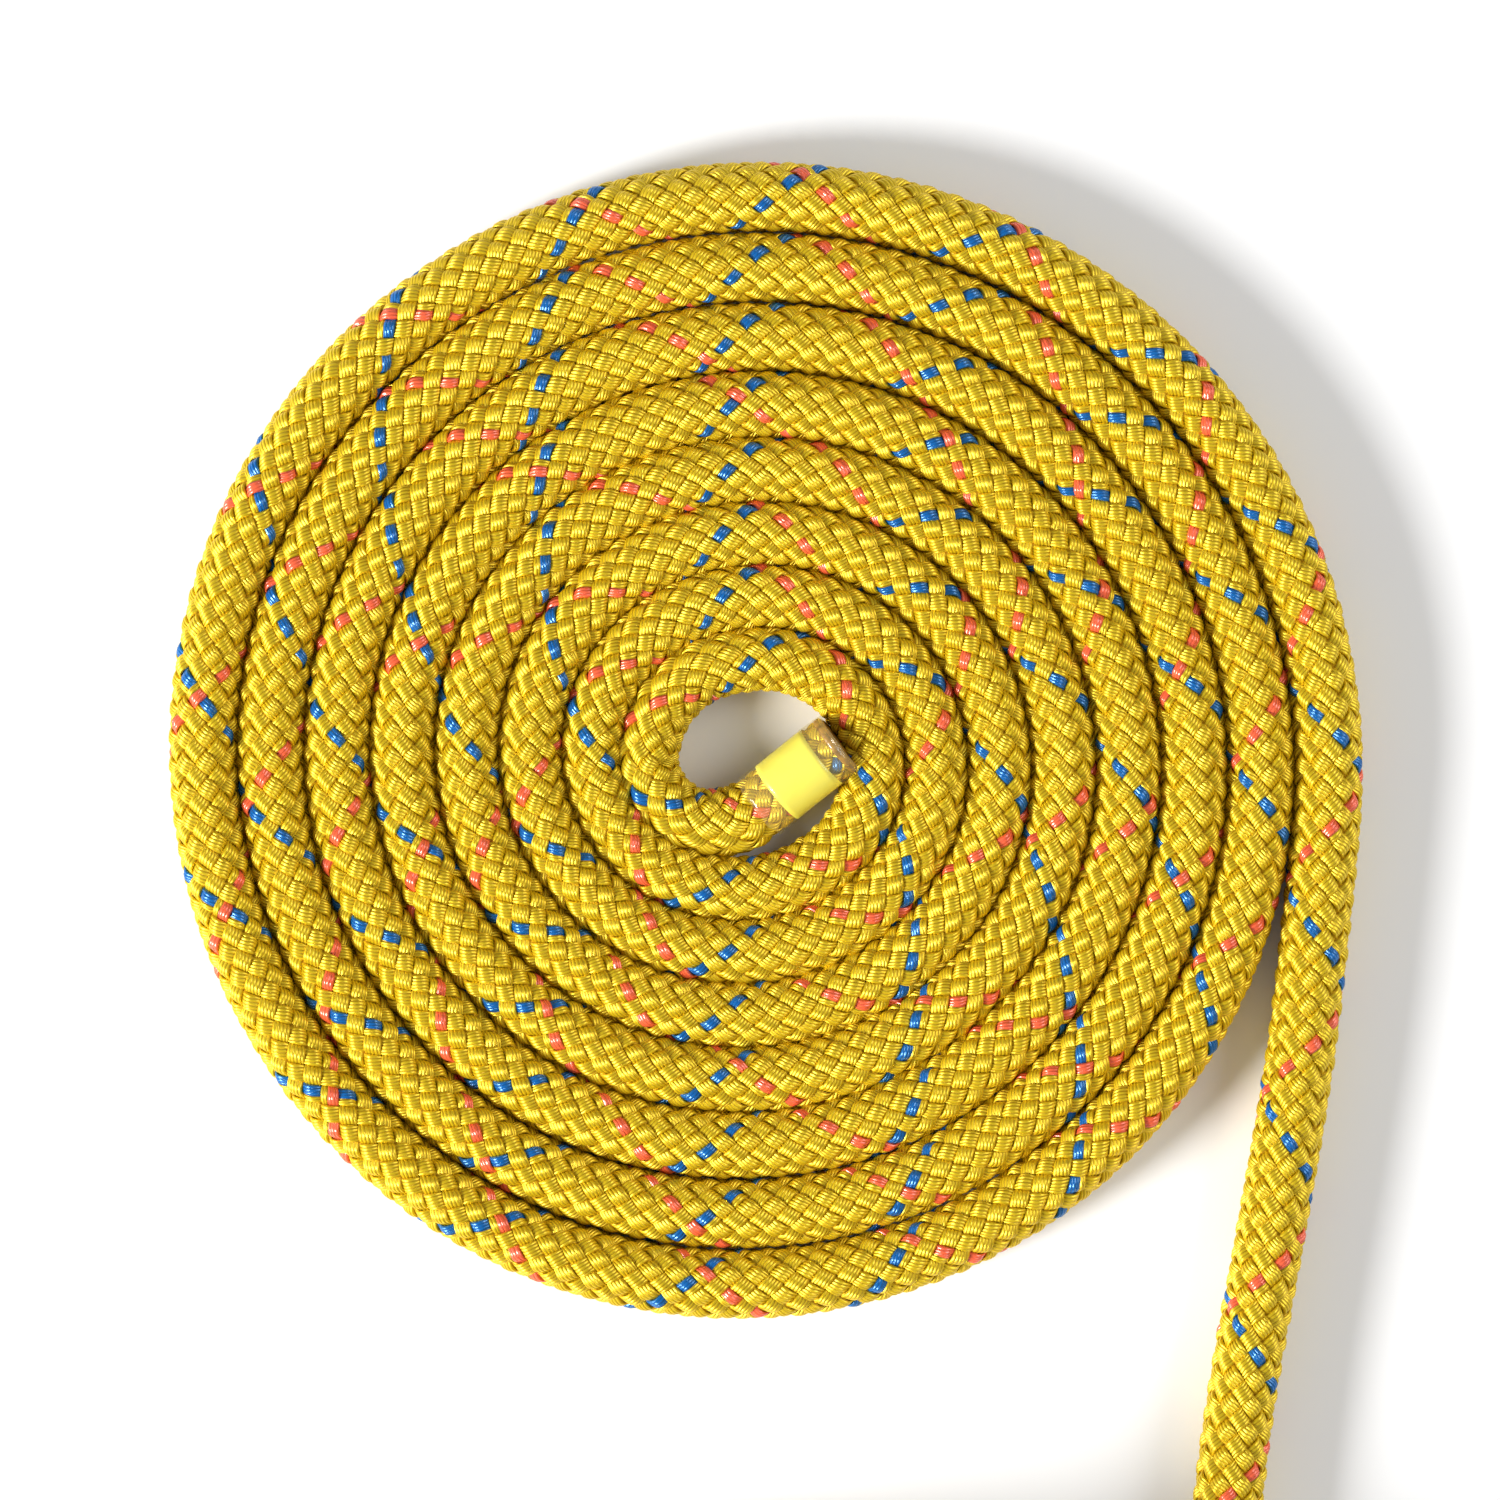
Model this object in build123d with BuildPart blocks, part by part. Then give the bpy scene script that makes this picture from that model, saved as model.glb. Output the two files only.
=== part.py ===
from build123d import *
import os
from math import cos, degrees, pi, radians, sin, sqrt, tan

# A dynamic kernmantle climbing rope, 10 mm thick and 10 m long.
# One part of it lies on a table as a flat spiral of one layer, a free run leads away from the
# spiral, and the rest is wound into a round storage coil that two straps hold.
# Both rope ends are built up piece by piece: sheath, core strands, identification tape,
# fused tip, label band and clear heat-shrink sleeve.
# Units are millimetres. +Z is up, and the rope lies on the plane Z = 0.
# The origin is the middle of the whole layout's footprint, on that plane.

# ---- the rope -------------------------------------------------------------------------
rope_radius = 5.0

# ---- the flat spiral ------------------------------------------------------------------
# Its turns press lightly against each other, so they lie a little less than a diameter apart.
# Each half turn is a semicircle, and the two centres stand half a pitch apart.
flat_pitch = 9.1
flat_outer_turn = 78.4
flat_turns = 8
curl_drop = 1.5
curl_radius = 8.0
curl_turn = 130.8
leave_radius = 217.0
leave_turn = 6.7

# ---- the storage coil -----------------------------------------------------------------
# Each layer rests in the grooves of the layer below and has one turn less.
# The grooves inside the bundle are filled, so that its turns make one solid.
store_base_turns = 5
store_layers = 4
store_middle_turn = 85.7
turn_spacing = 2 * rope_radius
layer_rise = turn_spacing * sqrt(3) / 2
groove_fill = 2.0
# Over this sector, counted anticlockwise from +X, the outermost turns step inwards.
step_start = 15.0
step_end = 75.0

# ---- the storage straps ---------------------------------------------------------------
strap_width = 20.0
strap_thickness = 1.2
strap_gap = 0.1
strap_places = {"storage_strap_left": 165.0, "storage_strap_right": -15.0}
strap_tab_width = 30.0
strap_tab_height = 12.0

# ---- the rope ends --------------------------------------------------------------------
end_length = 13.4
sheath_bore = 3.8
strand_radius = 0.875
inner_strand_ring = 1.02
inner_strands = 3
outer_strand_ring = 2.7
outer_strands = 9
outer_strand_offset = 20.0
tape_width = 3.0
tape_inner_radius = 3.6
tape_outer_radius = 3.75
tip_radius = 4.9
tip_thickness = 1.0
tip_round = 0.5
label_start = 3.7
label_length = 7.9
label_thickness = 0.12
sleeve_start = 0.5
sleeve_length = 14.4
sleeve_radius = 5.4
inner_end_height = sleeve_radius + 0.05
outer_end_lift = 3.0
outer_end_stub = 18.0
notch_clearance = 0.3

# ---- the free run ---------------------------------------------------------------------
leave_lead = 18.0
entry_lead = 14.0
# Each bend of the free run takes this share of the shorter of its two sides.
bend_share = 0.45

# ---- places ---------------------------------------------------------------------------
coil_spacing_y = 221.0
spiral_x = 15.0
store_lift = strap_gap + strap_thickness
store_reach = store_middle_turn + (store_base_turns - 1) / 2 * turn_spacing + rope_radius
flat_reach = flat_outer_turn + rope_radius
spiral_y = (coil_spacing_y + store_reach - flat_reach) / 2
store_x = 0.0
store_y = spiral_y - coil_spacing_y

os.makedirs("parts", exist_ok=True)


def write(part, name):
    """Label a finished piece and write it as its own STEP file."""
    part.label = name
    export_step(part, f"parts/{name}.step")


def upright_plane(x, y, angle):
    """A vertical plane through (x, y): local X points out at the angle, local Y points up."""
    turn = radians(angle)
    return Plane(origin=(x, y, 0), x_dir=(cos(turn), sin(turn), 0), z_dir=(sin(turn), -cos(turn), 0))


# ---- the flat spiral ------------------------------------------------------------------
upper_x = spiral_x + flat_pitch / 4
lower_x = spiral_x - flat_pitch / 4
outermost_x = upper_x + flat_outer_turn
innermost_x = upper_x - (flat_outer_turn - (flat_turns - 1) * flat_pitch)

# The innermost turn curls round into the straight inner end.
curl_end_x = innermost_x + curl_radius - curl_radius * cos(radians(curl_turn))
curl_end_y = spiral_y - curl_drop - curl_radius * sin(radians(curl_turn))
inner_end_heading = radians(curl_turn - 90)
inner_end_plane = Plane(
    origin=(curl_end_x, curl_end_y, inner_end_height),
    z_dir=(cos(inner_end_heading), sin(inner_end_heading), 0),
)

with BuildPart() as flat_coil:
    with BuildSketch(upright_plane(upper_x, spiral_y, 0)):
        for turn in range(flat_turns):
            with Locations((flat_outer_turn - turn * flat_pitch, rope_radius)):
                Circle(rope_radius)
    revolve(axis=Axis((upper_x, spiral_y, 0), (0, 0, 1)), revolution_arc=180)
    with BuildSketch(upright_plane(lower_x, spiral_y, 180)):
        for turn in range(flat_turns - 1):
            with Locations((flat_outer_turn - (turn + 0.5) * flat_pitch, rope_radius)):
                Circle(rope_radius)
    revolve(axis=Axis((lower_x, spiral_y, 0), (0, 0, 1)), revolution_arc=180)
    # The outermost turn straightens as it leaves the spiral.
    with BuildSketch(upright_plane(outermost_x - leave_radius, spiral_y, 0)):
        with Locations((leave_radius, rope_radius)):
            Circle(rope_radius)
    revolve(axis=Axis((outermost_x - leave_radius, spiral_y, 0), (0, 0, -1)), revolution_arc=leave_turn)
    # The inner curl.
    with BuildLine():
        drop = Line(
            (innermost_x, spiral_y, rope_radius),
            (innermost_x, spiral_y - curl_drop, rope_radius),
        )
        JernArc(start=drop @ 1, tangent=(0, -1, 0), radius=curl_radius, arc_size=curl_turn)
    with BuildSketch(upright_plane(innermost_x, spiral_y, 0)):
        with Locations((0, rope_radius)):
            Circle(rope_radius)
    sweep()
    # The inner end presses into the turn beside it.
    with BuildSketch(inner_end_plane):
        Circle(sleeve_radius + notch_clearance)
    extrude(amount=sleeve_start + sleeve_length + notch_clearance, mode=Mode.SUBTRACT)
write(flat_coil.part, "flat_coil")


# ---- the free run ---------------------------------------------------------------------
def from_spiral(x, y, z=rope_radius):
    """A point of the route, given from the spiral's centre."""
    return Vector(spiral_x + x, spiral_y + y, z)


leave = radians(leave_turn)
leave_point = Vector(
    outermost_x - leave_radius * (1 - cos(leave)),
    spiral_y - leave_radius * sin(leave),
    rope_radius,
)
leave_heading = Vector(-sin(leave), -cos(leave), 0)
entry = radians(step_start)
entry_turn = store_middle_turn + (store_base_turns - 1) / 2 * turn_spacing
store_floor_turn = store_lift + rope_radius
entry_point = Vector(store_x + entry_turn * cos(entry), store_y + entry_turn * sin(entry), store_floor_turn)
entry_heading = Vector(sin(entry), -cos(entry), 0)

route = [
    leave_point,
    leave_point + leave_heading * leave_lead,
    from_spiral(73.0, -67.0),
    from_spiral(68.2, -92.5),
    from_spiral(65.8, -117.0),
    from_spiral(69.5, -142.0, 5.3),
    from_spiral(77.0, -165.0, 5.9),
    entry_point - entry_heading * entry_lead,
    entry_point,
]


def bend_radius(before, corner, after):
    """The radius of the arc that a corner of the route has room for."""
    run_in = corner - before
    run_out = after - corner
    half_turn = radians(run_in.get_angle(run_out)) / 2
    return bend_share * min(run_in.length, run_out.length) / tan(half_turn)


bend_radii = [bend_radius(*route[i - 1 : i + 2]) for i in range(1, len(route) - 1)]
print("free run radii:", [round(radius, 1) for radius in bend_radii])

with BuildPart() as free_run:
    with BuildLine() as path:
        FilletPolyline(*route, radius=bend_radii)
    with BuildSketch(Plane(origin=leave_point, z_dir=leave_heading)):
        Circle(rope_radius)
    sweep()
free_run_length = path.wire().length
print("free run length:", round(free_run_length, 1))
print("free run volume over section x length:",
      round(free_run.part.volume / (pi * rope_radius**2 * free_run_length), 4))
write(free_run.part, "free_run")


# ---- the storage coil -----------------------------------------------------------------
def turn_place(layer, turn):
    """Radius and height of one turn of the storage coil, counted from the inside."""
    turns = store_base_turns - layer
    radius = store_middle_turn + (turn - (turns - 1) / 2) * turn_spacing
    return radius, store_lift + rope_radius + layer * layer_rise


all_turns = [turn_place(layer, turn) for layer in range(store_layers) for turn in range(store_base_turns - layer)]
top = store_layers - 1
base_outer = turn_place(0, store_base_turns - 1)
top_outer = turn_place(top, store_base_turns - top - 1)
corners = [turn_place(0, 0), base_outer, top_outer, turn_place(top, 0)]
step_turns = [place for place in all_turns if place not in (base_outer, top_outer)]
step_corners = [
    turn_place(0, 0),
    turn_place(0, store_base_turns - 2),
    turn_place(1, store_base_turns - 2),
    turn_place(top - 1, store_base_turns - top),
    turn_place(top, 0),
]


def outline(points, amount):
    """The outline of a bundle of turns, at a distance from the middles of its corner turns."""
    with BuildSketch() as shape:
        with BuildLine():
            Polyline(*points, close=True)
        make_face()
        offset(amount=amount)
    return shape.sketch


store_axis = Axis((store_x, store_y, 0), (0, 0, 1))
end_turn = radians(step_end)
outer_end_heading = Vector(sin(end_turn), -cos(end_turn), 0)
outer_end_height = top_outer[1] + outer_end_lift
outer_end_root = Vector(
    store_x + top_outer[0] * cos(end_turn), store_y + top_outer[0] * sin(end_turn), outer_end_height
)

with BuildPart() as stored_coil:
    with BuildSketch(upright_plane(store_x, store_y, step_end)):
        add(outline(corners, groove_fill))
        for place in all_turns:
            with Locations(place):
                Circle(rope_radius)
    revolve(axis=store_axis, revolution_arc=360 - (step_end - step_start))
    with BuildSketch(upright_plane(store_x, store_y, step_start)):
        add(outline(step_corners, groove_fill))
        for place in step_turns:
            with Locations(place):
                Circle(rope_radius)
    revolve(axis=store_axis, revolution_arc=step_end - step_start)
    # The last of the rope leaves the top turn and lies straight across the coil.
    with BuildSketch(Plane(origin=outer_end_root - outer_end_heading * rope_radius, z_dir=outer_end_heading)):
        Circle(rope_radius)
    extrude(amount=rope_radius + outer_end_stub)
write(stored_coil.part, "stored_coil")

upper_radii = [flat_outer_turn - turn * flat_pitch for turn in range(flat_turns)]
lower_radii = [radius - flat_pitch / 2 for radius in upper_radii[:-1]]
flat_length = pi * sum(upper_radii + lower_radii) + leave_radius * leave
curl_length = curl_drop + curl_radius * radians(curl_turn)
stored_length = 2 * pi * store_middle_turn * len(all_turns)
ends_length = 2 * (end_length + tip_thickness) + outer_end_stub
print("rope length:", round(flat_length + curl_length + free_run_length + stored_length + ends_length))

# ---- the storage straps ---------------------------------------------------------------
band_inner = rope_radius + strap_gap
band_outer = band_inner + strap_thickness
half_angle = degrees(strap_width / 2 / store_middle_turn)
for name, angle in strap_places.items():
    with BuildPart() as strap:
        with BuildSketch(upright_plane(store_x, store_y, angle - half_angle)):
            add(outline(corners, band_outer))
            add(outline(corners, band_inner), mode=Mode.SUBTRACT)
        # The strap's free end is pressed down on top, as a second layer.
        with BuildSketch(upright_plane(store_x, store_y, angle - half_angle)):
            add(outline(corners, band_outer + strap_thickness))
            add(outline(corners, band_outer), mode=Mode.SUBTRACT)
            with Locations((store_middle_turn, top_outer[1])):
                Rectangle(strap_tab_width, 2 * strap_tab_height, mode=Mode.INTERSECT)
        revolve(axis=store_axis, revolution_arc=2 * half_angle)
    write(strap.part, name)

# ---- the rope ends --------------------------------------------------------------------
inner_places = PolarLocations(inner_strand_ring, inner_strands)
outer_places = PolarLocations(outer_strand_ring, outer_strands, start_angle=outer_strand_offset)
strand_places = [place.position for place in inner_places] + [place.position for place in outer_places]
outer_end_plane = Plane(
    origin=outer_end_root + outer_end_heading * outer_end_stub,
    z_dir=outer_end_heading,
)

for end_name, start in (("inner_end", inner_end_plane), ("outer_end", outer_end_plane)):
    with BuildPart() as sheath:
        with BuildSketch(start):
            Circle(rope_radius)
            Circle(sheath_bore, mode=Mode.SUBTRACT)
        extrude(amount=end_length)
    write(sheath.part, f"{end_name}_sheath")

    for number, place in enumerate(strand_places, start=1):
        with BuildPart() as strand:
            with BuildSketch(start):
                with Locations((place.X, place.Y)):
                    Circle(strand_radius)
            extrude(amount=end_length)
        write(strand.part, f"{end_name}_core_strand_{number:02d}")

    # A marked tape runs between the core and the sheath.
    with BuildPart() as tape:
        with BuildSketch(start):
            Circle(tape_outer_radius)
            Circle(tape_inner_radius, mode=Mode.SUBTRACT)
            with Locations((tape_outer_radius, 0)):
                Rectangle(tape_outer_radius, tape_width, mode=Mode.INTERSECT)
        extrude(amount=end_length)
    write(tape.part, f"{end_name}_identification_tape")

    # A hot knife melts sheath and core together at the cut.
    with BuildPart() as tip:
        with BuildSketch(start.offset(end_length)):
            Circle(tip_radius)
        extrude(amount=tip_thickness)
        fillet(tip.faces().sort_by(Axis(start.origin, start.z_dir))[-1].edges(), radius=tip_round)
    write(tip.part, f"{end_name}_fused_tip")

    with BuildPart() as label:
        with BuildSketch(start.offset(label_start)):
            Circle(rope_radius + label_thickness)
            Circle(rope_radius, mode=Mode.SUBTRACT)
        extrude(amount=label_length)
    write(label.part, f"{end_name}_label")

    # The clear sleeve is shrunk on over the label, and stands a little past the tip.
    with BuildPart() as sleeve:
        with BuildSketch(start.offset(sleeve_start)):
            Circle(sleeve_radius)
            Circle(rope_radius, mode=Mode.SUBTRACT)
        extrude(amount=sleeve_length)
        with BuildSketch(start.offset(label_start)):
            Circle(rope_radius + label_thickness)
        extrude(amount=label_length, mode=Mode.SUBTRACT)
    write(sleeve.part, f"{end_name}_clear_sleeve")
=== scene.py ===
from math import cos, pi, radians, sin

import bpy
import numpy as np
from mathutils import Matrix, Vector


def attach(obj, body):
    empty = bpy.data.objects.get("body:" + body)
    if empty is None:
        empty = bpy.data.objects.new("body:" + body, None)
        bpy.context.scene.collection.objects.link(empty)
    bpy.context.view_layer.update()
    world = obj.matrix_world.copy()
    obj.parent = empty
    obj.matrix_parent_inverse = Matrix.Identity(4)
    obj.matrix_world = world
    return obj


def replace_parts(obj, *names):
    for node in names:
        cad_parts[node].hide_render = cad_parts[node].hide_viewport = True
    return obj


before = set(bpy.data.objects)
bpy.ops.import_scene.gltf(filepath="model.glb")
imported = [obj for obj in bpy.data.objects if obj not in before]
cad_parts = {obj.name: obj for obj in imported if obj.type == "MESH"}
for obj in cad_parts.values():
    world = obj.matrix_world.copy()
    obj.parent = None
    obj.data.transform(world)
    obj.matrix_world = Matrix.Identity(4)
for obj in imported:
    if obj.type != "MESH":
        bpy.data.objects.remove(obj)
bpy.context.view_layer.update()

# ---- places, as in the CAD source ------------------------------------------------------
rope_radius = 0.005
spiral_centre = (0.0150, 0.12415)
store_centre = (0.0, -0.09685)
store_base_turns = 5
store_layers = 4
store_middle_turn = 0.0857
turn_spacing = 2 * rope_radius
layer_rise = turn_spacing * 3**0.5 / 2
store_floor_turn = 0.0063
step_start = 15
step_end = 75
entry_lead = 0.014
outer_end_lift = 0.003
outer_end_stub = 0.018
end_length = 0.0144

# ---- the camera ------------------------------------------------------------------------
view_centre = (spiral_centre[0] + 0.00014, spiral_centre[1] + 0.00112)
view_width = 0.210
camera_distance = 1.4
sensor_width = 36

camera_data = bpy.data.cameras.new("camera")
camera_data.sensor_width = sensor_width
camera_data.lens = sensor_width * camera_distance / view_width
camera = bpy.data.objects.new("camera", camera_data)
camera.location = (*view_centre, rope_radius + camera_distance)
bpy.context.collection.objects.link(camera)
bpy.context.scene.camera = camera
bpy.context.scene.view_settings.view_transform = "Standard"


# ---- the rope's line -------------------------------------------------------------------
points_per_turn = 24
# A control point stands this much outside the circle that the line follows.
corner_reach = 1 / cos(pi / points_per_turn)


def on_circle(centre, radius, degrees, height):
    angle = radians(degrees)
    return (centre[0] + radius * cos(angle), centre[1] + radius * sin(angle), height)


def from_spiral(x, y, height=rope_radius):
    return (spiral_centre[0] + x, spiral_centre[1] + y, height)


def spiral_turn_radius(turn):
    """Radius of the spiral's line, with turns counted anticlockwise inwards from +X."""
    outer_edge = 0.0858 - 0.00949 * turn + 0.000059 * turn**2
    oval = 0.00143 * sin(2 * pi * turn) ** 2 * min(turn / 3, 1)
    return outer_edge - oval - 0.00476


def smooth_step(share):
    share = min(max(share, 0.0), 1.0)
    return share * share * (3 - 2 * share)


def inner_curl():
    """The inner end, lifted onto the turn beside it, and the curl behind it."""
    return [
        from_spiral(0.0126, 0.0021, 0.0074),
        from_spiral(0.0066, -0.0026, 0.0064),
        from_spiral(0.0020, -0.0064, 0.0055),
        from_spiral(-0.0012, -0.0086, 0.0051),
        from_spiral(-0.0048, -0.0091),
        from_spiral(-0.0085, -0.0089),
        from_spiral(-0.0116, -0.0067),
        from_spiral(-0.0139, -0.0036),
        from_spiral(-0.0147, 0.0003),
        from_spiral(-0.01255, 0.00725),
        from_spiral(-0.00715, 0.0124),
    ]


def flat_spiral(inner_turn=7.25):
    """The spiral's turns, from the innermost outwards."""
    steps = int(inner_turn * points_per_turn)
    points = []
    for step in range(steps, -1, -1):
        turn = step / points_per_turn
        radius = spiral_turn_radius(turn) * corner_reach
        points.append(on_circle(spiral_centre, radius, 360 * turn, rope_radius))
    return points


def free_run():
    """The route between the two coils."""
    entry_turn = store_middle_turn + (store_base_turns - 1) / 2 * turn_spacing
    entry = on_circle(store_centre, entry_turn, step_start, store_floor_turn)
    back = radians(step_start + 90)
    return [
        from_spiral(0.0792, -0.0253),
        from_spiral(0.0771, -0.0432),
        from_spiral(0.0730, -0.0670),
        from_spiral(0.0682, -0.0925),
        from_spiral(0.0658, -0.1170),
        from_spiral(0.0695, -0.1420, 0.0053),
        from_spiral(0.0770, -0.1650, 0.0059),
        (entry[0] + entry_lead * cos(back), entry[1] + entry_lead * sin(back), entry[2]),
        entry,
    ]


def storage_turns():
    """Radius and height of each turn of the storage coil, in the order that it is wound."""
    places = []
    for layer in range(store_layers):
        turns = store_base_turns - layer
        height = store_floor_turn + layer * layer_rise
        offsets = [(turn - (turns - 1) / 2) * turn_spacing for turn in range(turns)]
        row = [(store_middle_turn + offset, height) for offset in offsets]
        places += row if layer % 2 else row[::-1]
    return places


def storage_coil():
    """The storage coil's turns, clockwise, and the straight outer end."""
    turns = storage_turns()
    step = 360 / points_per_turn
    step_sector = step_end - step_start
    points = []
    for number, (radius, height) in enumerate(turns):
        last = number == len(turns) - 1
        next_radius, next_height = turns[number if last else number + 1]
        for place in range(points_per_turn):
            travelled = (place + 0.5) * step
            if last and travelled > 360 - step_sector:
                break
            share = smooth_step((travelled - 360 + step_sector) / step_sector)
            rise = outer_end_lift * smooth_step((travelled - 240) / step_sector) if last else 0
            points.append(on_circle(
                store_centre,
                (radius + share * (next_radius - radius)) * corner_reach,
                step_start - travelled,
                height + share * (next_height - height) + rise,
            ))
    radius, height = turns[-1]
    leave = radians(step_end)
    root = on_circle(store_centre, radius, step_end, height + outer_end_lift)
    for run in (radius * corner_reach * sin(pi / points_per_turn), outer_end_stub + end_length):
        points.append((root[0] + run * sin(leave), root[1] - run * cos(leave), root[2]))
    return points


def line_of(points, resolution=24):
    """Points read from the smooth NURBS line that has these control points."""
    data = bpy.data.curves.new("rope_line", "CURVE")
    data.dimensions = "3D"
    data.resolution_u = resolution
    spline = data.splines.new("NURBS")
    spline.points.add(len(points) - 1)
    spline.points.foreach_set("co", [value for point in points for value in (*point, 1.0)])
    spline.order_u = 3
    spline.use_endpoint_u = True
    curve = bpy.data.objects.new("rope_line", data)
    mesh = bpy.data.meshes.new_from_object(curve)
    line = np.empty(len(mesh.vertices) * 3)
    mesh.vertices.foreach_get("co", line)
    bpy.data.meshes.remove(mesh)
    bpy.data.objects.remove(curve)
    bpy.data.curves.remove(data)
    return line.reshape(-1, 3)


def lengths_along(line):
    return np.concatenate([[0.0], np.cumsum(np.linalg.norm(np.diff(line, axis=0), axis=1))])


line_step = 0.00025
heading_width = 13
rope_line = line_of(inner_curl() + flat_spiral() + free_run() + storage_coil())
line_lengths = lengths_along(rope_line)
rope_length = line_lengths[-1]
grid_s = np.linspace(0, rope_length, int(rope_length / line_step) + 1)
grid_points = np.stack([np.interp(grid_s, line_lengths, rope_line[:, k]) for k in range(3)], axis=1)


def smoothed(values, width):
    """A running mean that keeps the ends."""
    kernel = np.ones(width) / width
    padded = np.pad(values, ((width // 2, width // 2), (0, 0)), mode="edge")
    columns = [np.convolve(padded[:, k], kernel, "valid") for k in range(values.shape[1])]
    return np.stack(columns, axis=1)


def unit(vectors):
    return vectors / np.linalg.norm(vectors, axis=-1, keepdims=True)


grid_along = unit(smoothed(np.gradient(grid_points, axis=0), heading_width))
grid_side = unit(np.cross((0.0, 0.0, 1.0), grid_along))
grid_up = np.cross(grid_along, grid_side)
spiral_top = np.array(from_spiral(0.0, spiral_turn_radius(7.25)))
spiral_start = grid_s[np.linalg.norm(grid_points - spiral_top, axis=1).argmin()]
spiral_end = grid_s[np.linalg.norm(grid_points - from_spiral(0.0792, -0.0253), axis=1).argmin()]


def sampled(grid, s):
    return np.stack([np.interp(s, grid_s, grid[:, k]) for k in range(3)], axis=-1)


# Where turns press against each other, the rope is narrower than it is tall. The spiral's
# outer turns lie a little further apart than its inner ones.
inner_width = 0.94
outer_width = 1.0
press_start = 0.02
press_ease = 0.02


def side_scale(s):
    """How wide the rope is at s, as a share of its free width."""
    share = np.clip((s - spiral_start) / (spiral_end - spiral_start), 0, 1)
    pressed = inner_width + (outer_width - inner_width) * share**0.5
    into = np.clip((s - press_start) / press_ease, 0, 1)
    out_of = np.clip((spiral_end - s) / (2 * press_ease), 0, 1)
    return 1 - (1 - pressed) * into * out_of


def beside(s, sideways, upwards):
    """The point at a distance to the side of the rope's line and above it, past its ends too."""
    beyond = s - np.clip(s, 0, rope_length)
    centre = sampled(grid_points, s) + beyond[..., None] * sampled(grid_along, s)
    to_side = (sideways * side_scale(s))[..., None] * sampled(grid_side, s)
    return centre + to_side + upwards[..., None] * sampled(grid_up, s)


def around(s, angle, radius):
    """The point at an angle and a distance round the rope's line."""
    return beside(s, radius * np.cos(angle), radius * np.sin(angle))


# ---- building meshes -------------------------------------------------------------------
def make_piece(name, points, faces, materials, coordinates=None, face_materials=None):
    """A smooth mesh object on the rope's body. Each face has four corners."""
    mesh = bpy.data.meshes.new(name)
    mesh.vertices.add(len(points))
    mesh.vertices.foreach_set("co", np.asarray(points, np.float32).ravel())
    mesh.loops.add(faces.size)
    mesh.loops.foreach_set("vertex_index", faces.ravel().astype(np.int32))
    mesh.polygons.add(len(faces))
    mesh.polygons.foreach_set("loop_start", np.arange(len(faces), dtype=np.int32) * 4)
    mesh.polygons.foreach_set("use_smooth", np.ones(len(faces), bool))
    for material in materials:
        mesh.materials.append(material)
    if face_materials is not None:
        mesh.polygons.foreach_set("material_index", face_materials.astype(np.int32))
    if coordinates is not None:
        layer = mesh.uv_layers.new(name="yarn")
        layer.data.foreach_set("uv", coordinates[faces.ravel()].astype(np.float32).ravel())
    mesh.update()
    mesh.validate()
    piece = bpy.data.objects.new(name, mesh)
    bpy.context.collection.objects.link(piece)
    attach(piece, "root")
    return piece


def grid_faces(rows, columns, closed_across=True, closed_along=False, first=0):
    """Four-cornered faces of a grid of points, row by row."""
    row = np.arange(rows if closed_along else rows - 1)[:, None]
    column = np.arange(columns if closed_across else columns - 1)[None, :]
    next_row = (row + 1) % rows
    next_column = (column + 1) % columns
    corners = [row * columns + column, row * columns + next_column,
               next_row * columns + next_column, next_row * columns + column]
    faces = np.stack([np.broadcast_to(corner, (row.size, column.size)) for corner in corners], axis=-1)
    return faces.reshape(-1, 4) + first


# ---- the weave -------------------------------------------------------------------------
# Eight strands wind one way and eight the other, each over one and under one. A strand is
# two yarns. A point of the sheath has a winding angle, which grows along the rope, and the
# strands' middles follow it one way or the other.
strands_each_way = 8
weave_pitch = 0.0297
sheath_middle = 0.00394
weave_depth = 0.00060
strand_height = 0.00046
strand_fill = 0.985
strand_roundness = 2.5
float_fullness = 0.85
end_squeeze = 0.925
# A strand shows five plies side by side. Three of them are the coloured yarn in a tracer strand.
plies = 5
tracer_edge = -0.2
yarn_groove = 0.10
ply_width = 0.00054
ply_tilt = 0.10
float_length = pi / strands_each_way
weave_period = 2 * float_length
float_swelling = 0.16
squeeze_ease = 0.002
# The whole sheath turns slowly about the rope, and its pitch drifts a little. The factors are
# for powers of the share of the way along the shown rope.
drift_length = 2.24
sheath_turn = (-0.078, 12.59, -75.95, 91.45, -38.02)
pitch_drift = (0.348, -6.381, 1.556, 4.157)
curl_drift = 1.447
curl_share = 0.05

drift = np.clip((grid_s - spiral_start) / drift_length, 0, 1)
half_strand = pi / (2 * strands_each_way)
grid_turn = sum(factor * drift**power for power, factor in enumerate(sheath_turn)) - half_strand
grid_drift = sum(factor * drift**power for power, factor in enumerate(pitch_drift))
grid_drift = grid_drift + curl_drift * np.exp(-drift / curl_share)
grid_winding = 2 * pi * (grid_s - spiral_start) / weave_pitch - grid_drift
strand_advance = np.hypot(weave_pitch / (2 * pi), rope_radius)
tip_cover = 0.0002


def sheath_scale(s):
    """The clear sleeves squeeze the sheath at both ends."""
    from_end = np.minimum(s, rope_length - s)
    return 1 - (1 - end_squeeze) * np.clip((end_length + squeeze_ease - from_end) / squeeze_ease, 0, 1)


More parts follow.
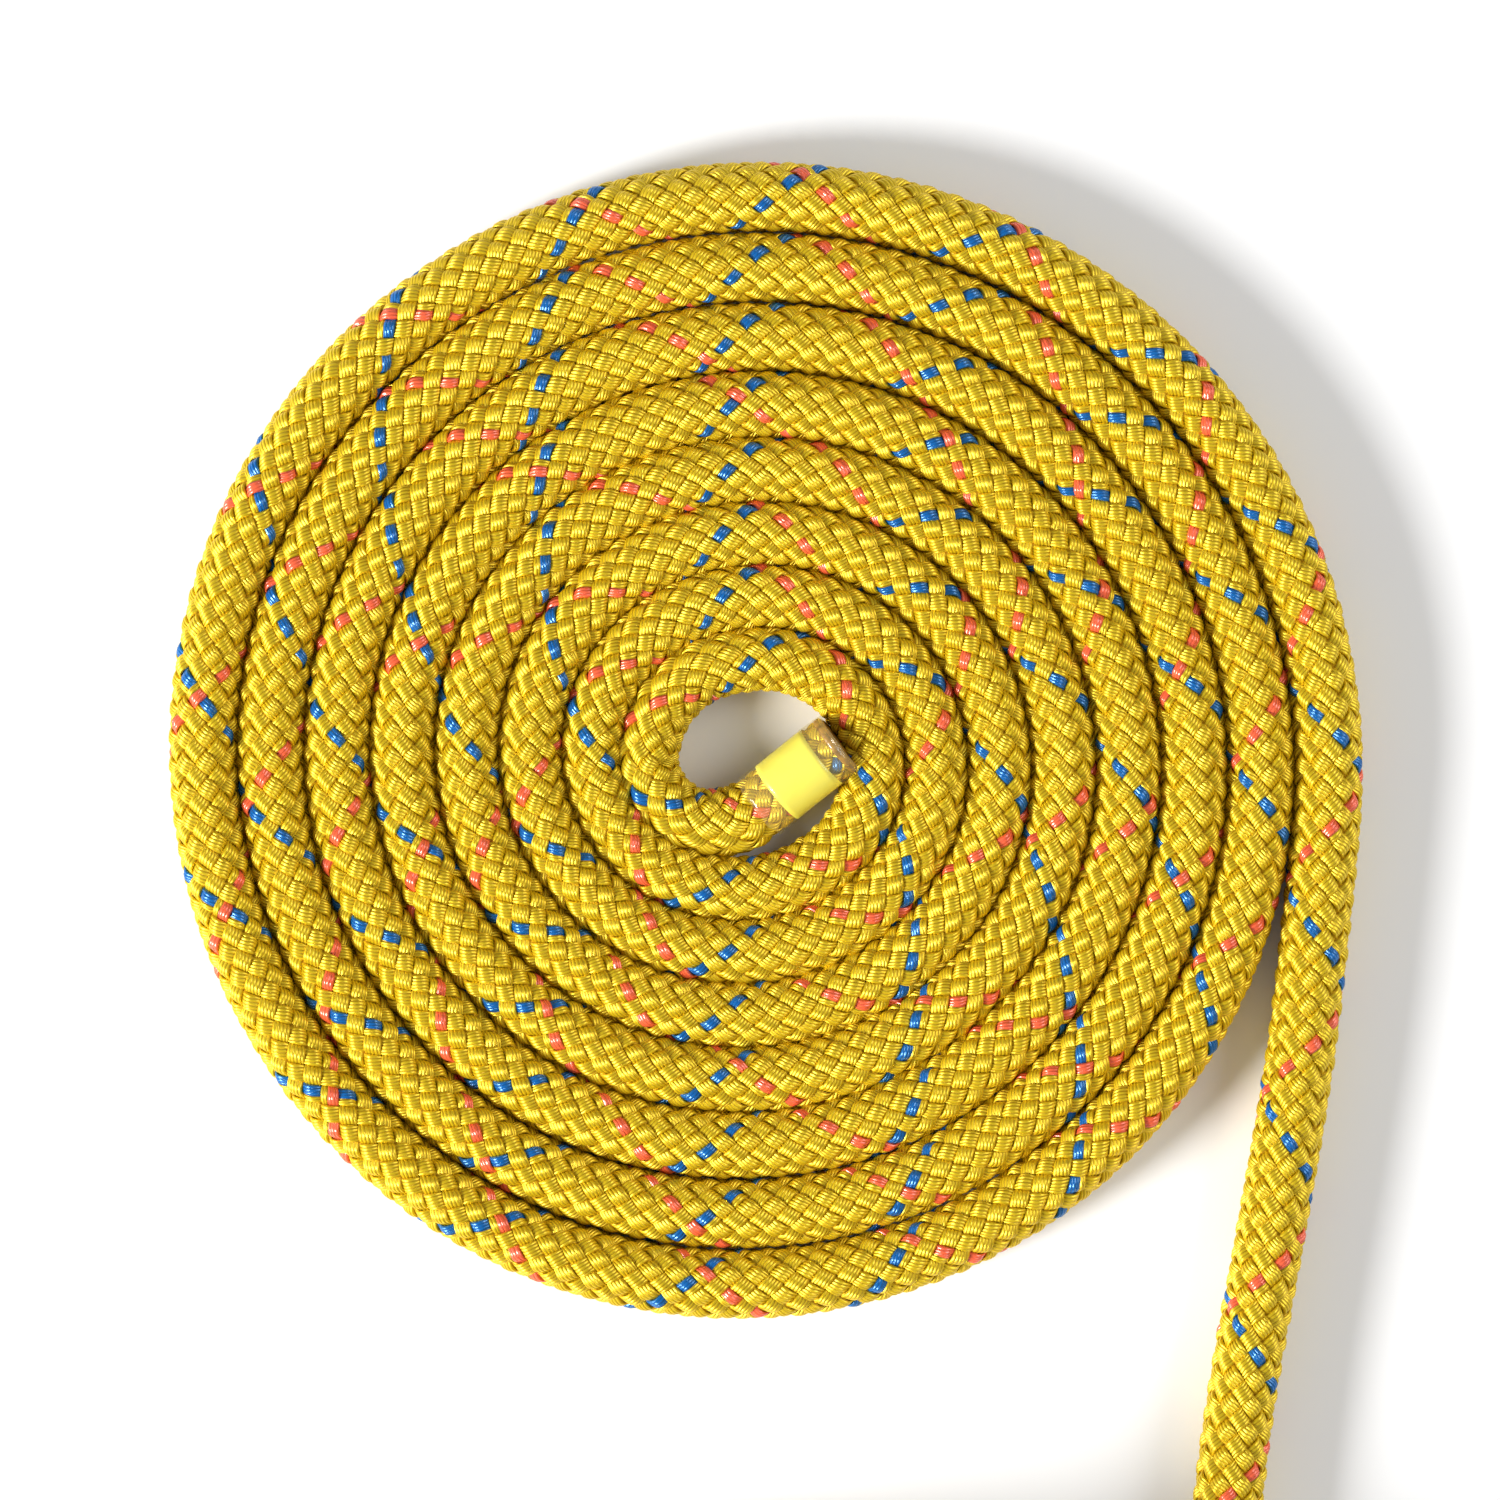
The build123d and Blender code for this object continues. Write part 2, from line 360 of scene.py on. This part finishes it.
def strand_points(direction, numbers, winding, across, heights, lift):
    """Rows of points along some strands of one direction, and their yarn coordinates in plies."""
    strand = 2 * pi * np.asarray(numbers)[:, None, None] / strands_each_way
    middle = winding[None, :, None]
    sideways = across[None, None, :] * strand_fill * pi / (2 * strands_each_way)
    at = middle + direction * sideways + np.zeros_like(strand)
    s = np.clip(np.interp(at, grid_winding, grid_s), tip_cover, rope_length - tip_cover)
    angle = np.interp(s, grid_s, grid_turn) + strand - direction * middle + sideways
    wave = -direction * np.cos(strands_each_way * middle) * np.ones_like(strand)
    wave = np.sign(wave) * np.abs(wave) ** float_fullness
    swell = 1 + lift[:, :, None] * np.clip(wave, 0, 1)
    radius = sheath_middle + weave_depth * wave * swell + heights[None, None, :]
    points = around(s, angle, radius * sheath_scale(s))
    in_float = (middle / weave_period - float_shift(direction) + 0.5) % 1 - 0.5
    along = middle * strand_advance / ply_width + np.zeros_like(at)
    lean = ply_tilt * in_float * weave_period * strand_advance / ply_width
    first_ply = 40 * np.asarray(numbers)[:, None, None] + (0 if direction > 0 else 1000)
    across_plies = first_ply + (across[None, None, :] + 1) * plies / 2 + lean
    return points, np.stack([across_plies, along], axis=-1)


def strand_section(first, last, steps):
    """A strand's rounded top between two places across it: places across and heights."""
    tilt = np.linspace(np.arcsin(first), np.arcsin(last), steps + 1)
    across = np.sin(tilt)
    return across, strand_height * np.sqrt(np.clip(1 - np.abs(across) ** strand_roundness, 0, 1))


def part_strand(steps, side):
    """One of a tracer strand's two yarns, with an upright face where it meets the other."""
    if side < 0:
        across, heights = strand_section(-1, tracer_edge, (steps + 1) // 2)
        heights[-1] *= 1 - yarn_groove
        return np.append(across, tracer_edge), np.append(heights, 0.0)
    across, heights = strand_section(tracer_edge, 1, (steps + 2) // 2)
    heights[0] *= 1 - yarn_groove
    return np.insert(across, 0, tracer_edge), np.insert(heights, 0, 0.0)


def float_shift(direction):
    """Where the floats of a direction lie, as a share of the distance between two of them."""
    return 0.5 if direction > 0 else 0.0


def strand_rows(direction, first, last, phases):
    """The winding angles of a strand's rows: phases are degrees from the middle of a float."""
    start = int(np.floor(first / weave_period)) - 1
    stop = int(np.ceil(last / weave_period)) + 1
    shares = np.asarray(phases)[None, :] / 360 + float_shift(direction)
    rows = ((np.arange(start, stop)[:, None] + shares) * weave_period).ravel()
    return rows[(rows >= first - 1e-9) & (rows <= last + 1e-9)]


def float_lifts(numbers, winding, direction):
    """A small random swelling for each float, the same on every run."""
    floats = np.round(winding[None, :] / weave_period)
    seeds = floats * 2.0 + np.asarray(numbers)[:, None] * 57.0
    noise = np.sin(seeds * 12.9898 + direction * 78.233) * 43758.5453
    return float_swelling * (noise - np.floor(noise) - 0.5)


def add_strands(builder, direction, numbers, rows, section):
    across, heights = section
    lift = float_lifts(numbers, rows, direction)
    points, yarn = strand_points(direction, numbers, rows, across, heights, lift)
    for number in range(len(numbers)):
        count, columns = points.shape[1:3]
        builder["faces"].append(grid_faces(count, columns, first=builder["count"]))
        builder["count"] += count * columns
        builder["points"].append(points[number].reshape(-1, 3))
        builder["yarn"].append(yarn[number].reshape(-1, 2))


def new_builder():
    return {"faces": [], "points": [], "yarn": [], "count": 0}


def woven_piece(name, builder, material):
    return make_piece(
        name,
        np.concatenate(builder["points"]),
        np.concatenate(builder["faces"]),
        [material],
        coordinates=np.concatenate(builder["yarn"]),
    )


# ---- materials -------------------------------------------------------------------------
def new_material(name):
    material = bpy.data.materials.new(name)
    material.use_nodes = True
    tree = material.node_tree
    return material, tree.nodes, tree.links, tree.nodes["Principled BSDF"]


def math_node(nodes, links, operation, *values):
    """A math node whose inputs are numbers or sockets."""
    node = nodes.new("ShaderNodeMath")
    node.operation = operation
    for place, value in enumerate(values):
        if isinstance(value, (int, float)):
            node.inputs[place].default_value = value
        else:
            links.new(value, node.inputs[place])
    return node.outputs[0]


def stretched_noise(nodes, links, vector, scale, detail=2.0):
    """Noise that is drawn out along the yarns: scale is per ply, across and along."""
    stretch = nodes.new("ShaderNodeMapping")
    stretch.inputs["Scale"].default_value = (*scale, 1)
    links.new(vector, stretch.inputs["Vector"])
    noise = nodes.new("ShaderNodeTexNoise")
    noise.inputs["Scale"].default_value = 1.0
    noise.inputs["Detail"].default_value = detail
    links.new(stretch.outputs[0], noise.inputs["Vector"])
    return noise.outputs["Fac"]


def yarn_material(
    name, valley_shade, light, glow, shine, roughness=0.42, metal=0.55, ridge=0.00013, fibre=0.16
):
    """Glossy nylon plies along the strand, with fine fibres on them and painted shade in the valleys
    between them.
    """
    material, nodes, links, shader = new_material(name)
    yarn = nodes.new("ShaderNodeUVMap")
    yarn.uv_map = "yarn"
    place = nodes.new("ShaderNodeSeparateXYZ")
    links.new(yarn.outputs["UV"], place.inputs[0])
    wander = stretched_noise(nodes, links, yarn.outputs["UV"], (0.25, 0.20), 1.0)
    shifted = math_node(nodes, links, "MULTIPLY_ADD", wander, 0.5, place.outputs["X"])
    angle = math_node(nodes, links, "MULTIPLY", math_node(nodes, links, "SUBTRACT", shifted, 0.25), pi)
    rounded = math_node(nodes, links, "ABSOLUTE", math_node(nodes, links, "SINE", angle))
    fibres = stretched_noise(nodes, links, yarn.outputs["UV"], (5.0, 0.35), 3.0)
    height = math_node(nodes, links, "MULTIPLY_ADD", fibres, fibre, rounded)
    # Painted shade: the colour runs from the first colour in the valleys between plies to the second on
    # the ply tops.
    colour = nodes.new("ShaderNodeValToRGB")
    colour.color_ramp.elements[0].color = (*valley_shade, 1)
    colour.color_ramp.elements[0].position = 0.04
    colour.color_ramp.elements[1].color = (*light, 1)
    colour.color_ramp.elements[1].position = 0.58
    links.new(height, colour.inputs["Fac"])
    patches = stretched_noise(nodes, links, yarn.outputs["UV"], (0.16, 0.12))
    tint = nodes.new("ShaderNodeMix")
    tint.data_type = "RGBA"
    tint.inputs["B"].default_value = (*glow, 1)
    links.new(math_node(nodes, links, "MULTIPLY", patches, 0.6), tint.inputs["Factor"])
    links.new(colour.outputs["Color"], tint.inputs["A"])
    links.new(tint.outputs["Result"], shader.inputs["Base Color"])
    bump = nodes.new("ShaderNodeBump")
    bump.inputs["Strength"].default_value = 1.0
    bump.inputs["Distance"].default_value = ridge
    links.new(height, bump.inputs["Height"])
    links.new(bump.outputs["Normal"], shader.inputs["Normal"])
    shader.inputs["Roughness"].default_value = roughness
    # Fibres shine in a band that lies along them, so the highlight spreads across the strand.
    across = nodes.new("ShaderNodeTangent")
    across.direction_type = "UV_MAP"
    across.uv_map = "yarn"
    links.new(across.outputs[0], shader.inputs["Tangent"])
    shader.inputs["Anisotropic"].default_value = 0.75
    shader.inputs["Metallic"].default_value = metal
    shader.inputs["Specular IOR Level"].default_value = 1.0
    shader.inputs["Specular Tint"].default_value = (*shine, 1)
    return material


def plain_material(name, colour, roughness):
    material, nodes, links, shader = new_material(name)
    shader.inputs["Base Color"].default_value = (*colour, 1)
    shader.inputs["Roughness"].default_value = roughness
    return material


def film_material(name, through, surface, clearness):
    """A clear film: most light goes straight through it, the rest meets its glossy surface."""
    material, nodes, links, shader = new_material(name)
    shader.inputs["Base Color"].default_value = (*surface, 1)
    shader.inputs["Roughness"].default_value = 0.12
    shader.inputs["Specular IOR Level"].default_value = 1.0
    shader.inputs["Coat Weight"].default_value = 1.0
    shader.inputs["Coat Roughness"].default_value = 0.08
    passing = nodes.new("ShaderNodeBsdfTransparent")
    passing.inputs["Color"].default_value = (*through, 1)
    mix = nodes.new("ShaderNodeMixShader")
    mix.inputs[0].default_value = 1 - clearness
    links.new(passing.outputs[0], mix.inputs[1])
    links.new(shader.outputs[0], mix.inputs[2])
    links.new(mix.outputs[0], nodes["Material Output"].inputs["Surface"])
    return material


def mottled_material(name, first, second, scale, roughness, bump_height=0.0, coat=0.0):
    """Two colours that blend in soft patches, over a slightly uneven surface."""
    material, nodes, links, shader = new_material(name)
    place = nodes.new("ShaderNodeTexCoord")
    patches = nodes.new("ShaderNodeTexNoise")
    patches.inputs["Scale"].default_value = scale
    patches.inputs["Detail"].default_value = 4.0
    links.new(place.outputs["Object"], patches.inputs["Vector"])
    colour = nodes.new("ShaderNodeValToRGB")
    colour.color_ramp.elements[0].color = (*first, 1)
    colour.color_ramp.elements[0].position = 0.35
    colour.color_ramp.elements[1].color = (*second, 1)
    colour.color_ramp.elements[1].position = 0.65
    links.new(patches.outputs["Fac"], colour.inputs["Fac"])
    links.new(colour.outputs["Color"], shader.inputs["Base Color"])
    bump = nodes.new("ShaderNodeBump")
    bump.inputs["Strength"].default_value = 1.0
    bump.inputs["Distance"].default_value = bump_height
    links.new(patches.outputs["Fac"], bump.inputs["Height"])
    links.new(bump.outputs["Normal"], shader.inputs["Normal"])
    shader.inputs["Roughness"].default_value = roughness
    shader.inputs["Coat Weight"].default_value = coat
    return material


def webbing_material(name, thread, gap, spacing):
    """Woven webbing with a dull nap."""
    material, nodes, links, shader = new_material(name)
    place = nodes.new("ShaderNodeUVMap")
    place.uv_map = "yarn"
    weave = nodes.new("ShaderNodeTexBrick")
    weave.inputs["Scale"].default_value = 1 / spacing
    weave.inputs["Color1"].default_value = (*thread, 1)
    weave.inputs["Color2"].default_value = (*(1.6 * part for part in thread), 1)
    weave.inputs["Mortar"].default_value = (*gap, 1)
    weave.inputs["Mortar Size"].default_value = 0.06
    links.new(place.outputs["UV"], weave.inputs["Vector"])
    nap = nodes.new("ShaderNodeTexNoise")
    nap.inputs["Scale"].default_value = 1.5 / spacing
    nap.inputs["Detail"].default_value = 6.0
    links.new(place.outputs["UV"], nap.inputs["Vector"])
    links.new(weave.outputs["Color"], shader.inputs["Base Color"])
    rough_height = math_node(nodes, links, "SUBTRACT", nap.outputs["Fac"], weave.outputs["Fac"])
    bump = nodes.new("ShaderNodeBump")
    bump.inputs["Distance"].default_value = 0.0002
    links.new(rough_height, bump.inputs["Height"])
    links.new(bump.outputs["Normal"], shader.inputs["Normal"])
    shader.inputs["Roughness"].default_value = 0.92
    shader.inputs["Sheen Weight"].default_value = 0.25
    return material


# Each yarn's first colour is painted shade for the valleys between its plies.
yellow_yarn = yarn_material(
    "yellow_yarn", (0.36, 0.14, 0.0005), (0.80, 0.58, 0.012), (0.66, 0.44, 0.004),
    shine=(1.0, 0.98, 0.78),
)
blue_yarn = yarn_material(
    "blue_yarn", (0.0005, 0.025, 0.12), (0.001, 0.115, 0.38), (0.001, 0.085, 0.34),
    shine=(0.6, 0.9, 1.0), roughness=0.26, metal=0.2, ridge=0.00010, fibre=0.45,
)
coral_yarn = yarn_material(
    "coral_yarn", (0.42, 0.025, 0.004), (0.86, 0.13, 0.05), (0.80, 0.10, 0.035),
    shine=(1.0, 0.85, 0.85), roughness=0.26, metal=0.15, ridge=0.00010, fibre=0.45,
)
# Painted shade: the core tube is dark red-brown, like shade, and fills the gaps between the sheath's
# floats.
core_shade_material = plain_material("rope_core", (0.30, 0.05, 0.001), 0.8)
core_yarn = yarn_material(
    "core_yarn", (0.45, 0.42, 0.36), (0.80, 0.78, 0.72), (0.76, 0.73, 0.66),
    shine=(1, 1, 1), roughness=0.6, metal=0.0,
)
tape_film = mottled_material("tape_film", (0.50, 0.03, 0.02), (0.62, 0.05, 0.03), 300, 0.4)
fused_nylon = mottled_material(
    "fused_nylon", (0.10, 0.028, 0.004), (0.42, 0.20, 0.02), 700, 0.35, bump_height=0.0002, coat=0.4
)
label_film = mottled_material(
    "label_film", (0.78, 0.73, 0.07), (0.80, 0.76, 0.09), 150, 0.35, bump_height=0.0001, coat=0.3
)
clear_film = film_material("clear_film", (0.995, 0.985, 0.94), (0.78, 0.66, 0.30), 0.92)
strap_webbing = webbing_material("strap_webbing", (0.018, 0.018, 0.020), (0.004, 0.004, 0.005), 0.0011)


# ---- the sheath ------------------------------------------------------------------------
close_phases = (-90, -54, -18, 18, 54, 90, 180)
coarse_phases = (-90, -30, 30, 90, 180)
free_end = grid_s[np.linalg.norm(grid_points - free_run()[-1], axis=1).argmin()]


def weave_cuts(first_s, last_s, pieces):
    """Winding angles where one sheath piece ends and the next begins, at the edges of floats.
    The first and last pieces of the rope run past its tips."""
    first, last = np.interp((first_s, last_s), grid_s, grid_winding)
    past_tip = np.zeros(pieces + 1)
    past_tip[0] = -0.5 * (first_s == 0)
    past_tip[-1] = last_s == rope_length
    periods = np.floor(np.linspace(first, last, pieces + 1) / weave_period)
    return (periods + 0.25 + past_tip) * weave_period


def build_sheath(blue, coral):
    pieces = []
    stretches = [
        ("sheath", weave_cuts(0.0, free_end, 6), close_phases, 6),
        ("sheath_stored", weave_cuts(free_end, rope_length, 8), coarse_phases, 4),
    ]
    for name, cuts, phases, steps in stretches:
        for number, (first, last) in enumerate(zip(cuts[:-1], cuts[1:]), start=1):
            yellow = new_builder()
            for direction, tracer in ((1, blue), (-1, coral)):
                rows = strand_rows(direction, first, last, phases)
                whole = strand_section(-1, 1, steps)
                add_strands(yellow, direction, range(1, strands_each_way), rows, whole)
                add_strands(yellow, direction, [0], rows, part_strand(steps, -1))
                add_strands(tracer, direction, [0], rows, part_strand(steps, 1))
            pieces.append(woven_piece(f"{name}_{number:02d}", yellow, yellow_yarn))
    return pieces


blue, coral = new_builder(), new_builder()
sheath_pieces = build_sheath(blue, coral)
tracer_pieces = [
    woven_piece("tracer_blue", blue, blue_yarn),
    woven_piece("tracer_coral", coral, coral_yarn),
]
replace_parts(sheath_pieces[0], "flat_coil", "inner_end_sheath")
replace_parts(sheath_pieces[5], "free_run")
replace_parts(sheath_pieces[-1], "stored_coil", "outer_end_sheath")


# ---- the core --------------------------------------------------------------------------
core_radius = 0.00395
core_sides = 12
core_step = 0.004


def ring_points(s_values, radius, sides):
    """Rings of one radius round the rope's line."""
    angles = np.linspace(0, 2 * pi, sides, endpoint=False)
    s, angle = np.meshgrid(s_values, angles, indexing="ij")
    return around(s, angle, np.full(s.shape, radius))


core_s = np.linspace(end_length, rope_length - end_length, int(rope_length / core_step))
core_points = ring_points(core_s, core_radius, core_sides)
# The core tube's colour is painted shade for the gaps between floats.
core = make_piece(
    "rope_core",
    core_points.reshape(-1, 3),
    grid_faces(len(core_s), core_sides),
    [core_shade_material],
)


# ---- the finished ends -----------------------------------------------------------------
# Places on an end are distances from the rope's tip.
sleeve_span = (-0.0004, 0.0145)
sleeve_inner = 0.00480
sleeve_outer = 0.00490
label_span = (0.0030, 0.0112)
label_inner = 0.00470
label_outer = 0.00475
label_ripple = 0.00001
tip_radius = 0.00462
strand_rings = ((3, 0.00095, 0.0), (9, 0.00250, radians(20)))
core_strand_radius = 0.00081
core_strand_pitch = 0.045
core_inset = 0.0006
tape_inner = 0.00341
tape_outer = 0.00348
tape_half_angle = 0.42
end_names = ("inner_end", "outer_end")


def on_end(end, distance):
    """s at a distance from the tip of an end."""
    return distance if end == "inner_end" else rope_length - distance


def waver(angle, size, seed):
    """An uneven edge: a sum of a few waves round the rope."""
    slow = np.sin(2 * angle + seed)
    quicker = 0.6 * np.sin(5 * angle + 2.3 * seed)
    return size * (slow + quicker + 0.3 * np.sin(11 * angle + seed))


def clear_sleeve(end, sides=64, rings=14):
    """Shrunk film: an uneven start, a narrow neck at the tip and a thin wall."""
    angle = np.linspace(0, 2 * pi, sides, endpoint=False)
    share = np.linspace(0, 1, rings)
    out = np.stack([sleeve_outer + 0 * share, share], axis=1)
    profile = np.concatenate([out, out[::-1] * (sleeve_inner / sleeve_outer, 1)])
    radius, share = profile[:, :1], profile[:, 1:]
    first = sleeve_span[0] + waver(angle, 0.00007, 1.0)
    last = sleeve_span[1] + waver(angle, 0.00022, 4.0)
    distance = first + share * (last - first)
    neck = 1 - 0.035 * np.exp(-(distance - sleeve_span[0]) / 0.0008)
    flare = 1 + 0.02 * np.exp((distance - sleeve_span[1]) / 0.0009)
    dents = 1 + 0.003 * np.sin(3 * angle + 1500 * distance) * np.sin(900 * distance)
    points = around(on_end(end, distance), angle + 0 * distance, radius * neck * flare * dents)
    faces = grid_faces(2 * rings, sides, closed_along=True)
    return make_piece(f"{end}_clear_sleeve", points.reshape(-1, 3), faces, [clear_film])


def label(end, sides=64, rings=12):
    """The plain film band under the sleeve, with a faint ripple from the strands below it."""
    angle = np.linspace(0, 2 * pi, sides, endpoint=False)
    share = np.linspace(0, 1, rings)
    radius = np.concatenate([label_outer + 0 * share, label_inner + 0 * share])[:, None]
    there_and_back = np.concatenate([share, share[::-1]])[:, None]
    distance = label_span[0] + there_and_back * (label_span[1] - label_span[0])
    ripple = label_ripple * (
        np.sin(8 * angle + 1700 * distance) + np.sin(8 * angle - 1700 * distance)
    )
    points = around(on_end(end, distance + 0 * angle), angle + 0 * distance, radius + ripple)
    faces = grid_faces(2 * rings, sides, closed_along=True)
    return make_piece(f"{end}_label", points.reshape(-1, 3), faces, [label_film])


def fused_tip(end, sides=64):
    """Sheath and core melted together at the cut: a hard, uneven disc with a rounded rim."""
    angle = np.linspace(0, 2 * pi, sides, endpoint=False)
    rim = np.array([(0.0010, 0.93), (0.0009, 1.0), (0.0003, 1.0), (0.00005, 0.96), (-0.0001, 0.86)])
    face = np.array([
        (-0.00012, 0.72), (-0.0001, 0.5), (-0.00013, 0.28), (-0.00012, 0.08), (-0.00012, 0.001),
    ])
    back = np.array([(0.0010, 0.001), (0.0010, 0.5)])
    profile = np.concatenate([back, rim, face])
    distance = profile[:, :1] + waver(angle + 3 * profile[:, 1:], 0.00005, 2.0)
    radius = tip_radius * profile[:, 1:] * (1 + 0.008 * np.sin(9 * angle))
    points = around(on_end(end, distance), angle + 0 * distance, radius)
    faces = grid_faces(len(profile), sides, closed_along=True)
    return make_piece(f"{end}_fused_tip", points.reshape(-1, 3), faces, [fused_nylon])


def core_strands(builder, end, sides=10, rings=12):
    """The twisted strands of the core inside one end."""
    distance = np.linspace(core_inset, end_length, rings)[:, None]
    section = np.linspace(0, 2 * pi, sides, endpoint=False)
    s = on_end(end, distance) + 0 * section
    for count, ring, offset in strand_rings:
        for number in range(count):
            place = 2 * pi * number / count + offset + 2 * pi * s / core_strand_pitch
            sideways = ring * np.cos(place) + core_strand_radius * np.cos(section)
            upwards = ring * np.sin(place) + core_strand_radius * np.sin(section)
            builder["faces"].append(grid_faces(rings, sides, first=builder["count"]))
            builder["count"] += rings * sides
            builder["points"].append(beside(s, sideways, upwards).reshape(-1, 3))
            yarn = np.stack([s / ply_width + section, s / ply_width], axis=-1)
            builder["yarn"].append(yarn.reshape(-1, 2))


def identification_tape(end, rings=10, width_points=5):
    """A thin tape between core and sheath."""
    turn = np.linspace(-tape_half_angle, tape_half_angle, width_points)
    angle = np.concatenate([turn, turn[::-1]])
    radius = np.concatenate([tape_outer + 0 * turn, tape_inner + 0 * turn])
    distance = np.linspace(core_inset, end_length, rings)[:, None]
    points = around(on_end(end, distance + 0 * angle), angle + 0 * distance, radius + 0 * distance)
    faces = grid_faces(rings, 2 * width_points)
    return make_piece(f"{end}_tape", points.reshape(-1, 3), faces, [tape_film])


end_pieces = []
strands = new_builder()
for end in end_names:
    sleeve, band, tip = clear_sleeve(end), label(end), fused_tip(end)
    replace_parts(sleeve, f"{end}_clear_sleeve")
    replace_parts(band, f"{end}_label")
    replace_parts(tip, f"{end}_fused_tip")
    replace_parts(identification_tape(end), f"{end}_identification_tape")
    core_strands(strands, end)
    end_pieces += [sleeve, band, tip]
strand_piece = make_piece(
    "end_core_strands",
    np.concatenate(strands["points"]),
    np.concatenate(strands["faces"]),
    [core_yarn],
    coordinates=np.concatenate(strands["yarn"]),
)
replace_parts(strand_piece, *(f"{end}_core_strand_{n:02d}" for end in end_names for n in range(1, 13)))


# ---- the storage straps ----------------------------------------------------------------
strap_width = 0.020
strap_thickness = 0.0012
strap_gap = 0.0001
strap_places = {"storage_strap_left": 165, "storage_strap_right": -15}
strap_edge = 0.0005
tab_width = 0.030
tab_height = 0.012


def bundle_outline(distance, spacing=0.002):
    """The outline of the coil's section at a distance from its corner turns."""
    turns = storage_turns()
    by_height = sorted(turns, key=lambda place: (round(place[1], 5), place[0]))
    corners = [by_height[0], by_height[store_base_turns - 1], by_height[-1], by_height[-2]]
    points = []
    for before, corner, after in zip(corners[-1:] + corners[:-1], corners, corners[1:] + corners[:1]):
        headings = [np.arctan2(b[1] - a[1], b[0] - a[0]) for a, b in ((before, corner), (corner, after))]
        turn = (headings[1] - headings[0]) % (2 * pi)
        for share in np.linspace(0, 1, 8):
            facing = headings[0] + share * turn - pi / 2
            points.append((corner[0] + distance * cos(facing), corner[1] + distance * sin(facing)))
        reach = np.array([after[0] - corner[0], after[1] - corner[1]])
        for share in np.linspace(0, 1, int(np.linalg.norm(reach) / spacing))[1:-1]:
            points.append(tuple(points_on(corner, reach, share, distance)))
    return np.array(points)


def points_on(corner, reach, share, distance):
    """A point of a straight side of the outline."""
    out = np.array([reach[1], -reach[0]]) / np.linalg.norm(reach)
    return np.array(corner) + share * reach + distance * out


def strap_place(section, degrees, across):
    """Points of the strap: its outline is in the coil's section, its width lies along the coil."""
    angle = radians(degrees)
    out = np.array([cos(angle), sin(angle), 0.0])
    along = np.array([-sin(angle), cos(angle), 0.0])
    centre = np.array([*store_centre, 0.0])
    radial = section[..., :1] * out + section[..., 1:] * np.array([0.0, 0.0, 1.0])
    return centre + radial + across[..., None] * along


def strap_layer(name, degrees, distance, chosen=None):
    """A layer of webbing with rounded edges: the closed loop, or only the chosen part of it."""
    inside, outside = bundle_outline(distance), bundle_outline(distance + strap_thickness)
    closed = chosen is None
    if not closed:
        inside, outside = inside[chosen], outside[chosen]
    half = strap_width / 2
    profile = np.array([
        (-half, 0.5), (-half + strap_edge, 1.0), (-half / 3, 1.0), (half / 3, 1.0),
        (half - strap_edge, 1.0), (half, 0.5), (half - strap_edge, 0.0), (-half + strap_edge, 0.0),
    ])
    thickness = np.ones(len(inside))
    if not closed:
        thickness[[0, -1]] = 0.05
    share = 0.5 + (profile[None, :, 1:] - 0.5) * thickness[:, None, None]
    section = inside[:, None, :] * (1 - share) + outside[:, None, :] * share
    across = np.broadcast_to(profile[:, 0], section.shape[:2])
    travelled = np.concatenate([[0], np.cumsum(np.linalg.norm(np.diff(outside, axis=0), axis=1))])
    yarn = np.stack([across, travelled[:, None] + 0 * across], axis=-1)
    return make_piece(
        name,
        strap_place(section, degrees, across).reshape(-1, 3),
        grid_faces(len(inside), len(profile), closed_along=closed),
        [strap_webbing],
        coordinates=yarn.reshape(-1, 2),
    )


tab_centre = (store_middle_turn, max(height for _, height in storage_turns()))
band_inner = rope_radius + strap_gap
outline = bundle_outline(band_inner + strap_thickness)
under_tab = (np.abs(outline - tab_centre) < (tab_width / 2, tab_height)).all(axis=1)
for name, degrees in strap_places.items():
    band = strap_layer(name, degrees, band_inner)
    strap_layer(f"{name}_tab", degrees, band_inner + strap_thickness, under_tab)
    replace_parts(band, name)


# ---- floor and lights ------------------------------------------------------------------
floor_mesh = bpy.data.meshes.new("floor")
floor_mesh.from_pydata([(-4, -4, 0), (4, -4, 0), (4, 4, 0), (-4, 4, 0)], [], [(0, 1, 2, 3)])
floor = bpy.data.objects.new("floor", floor_mesh)
floor.location.z = -0.0002
floor_mesh.materials.append(plain_material("floor", (0.85, 0.85, 0.85), 0.9))
bpy.context.collection.objects.link(floor)


def area_light(name, place, target, size, power):
    data = bpy.data.lights.new(name, "AREA")
    data.shape = "DISK"
    data.size = size
    data.energy = power
    light = bpy.data.objects.new(name, data)
    light.location = place
    light.rotation_euler = (Vector(target) - Vector(place)).to_track_quat("-Z", "Y").to_euler()
    bpy.context.collection.objects.link(light)


area_light("key", (-1.6, -0.6, 0.85), (0, 0.1, 0), 0.7, 84)
area_light("fill", (1.5, 0.5, 1.0), (0, 0.1, 0), 1.2, 22)
world = bpy.data.worlds.new("world")
world.use_nodes = True
world.node_tree.nodes["Background"].inputs["Color"].default_value = (1, 1, 1, 1)
world.node_tree.nodes["Background"].inputs["Strength"].default_value = 0.34
bpy.context.scene.world = world
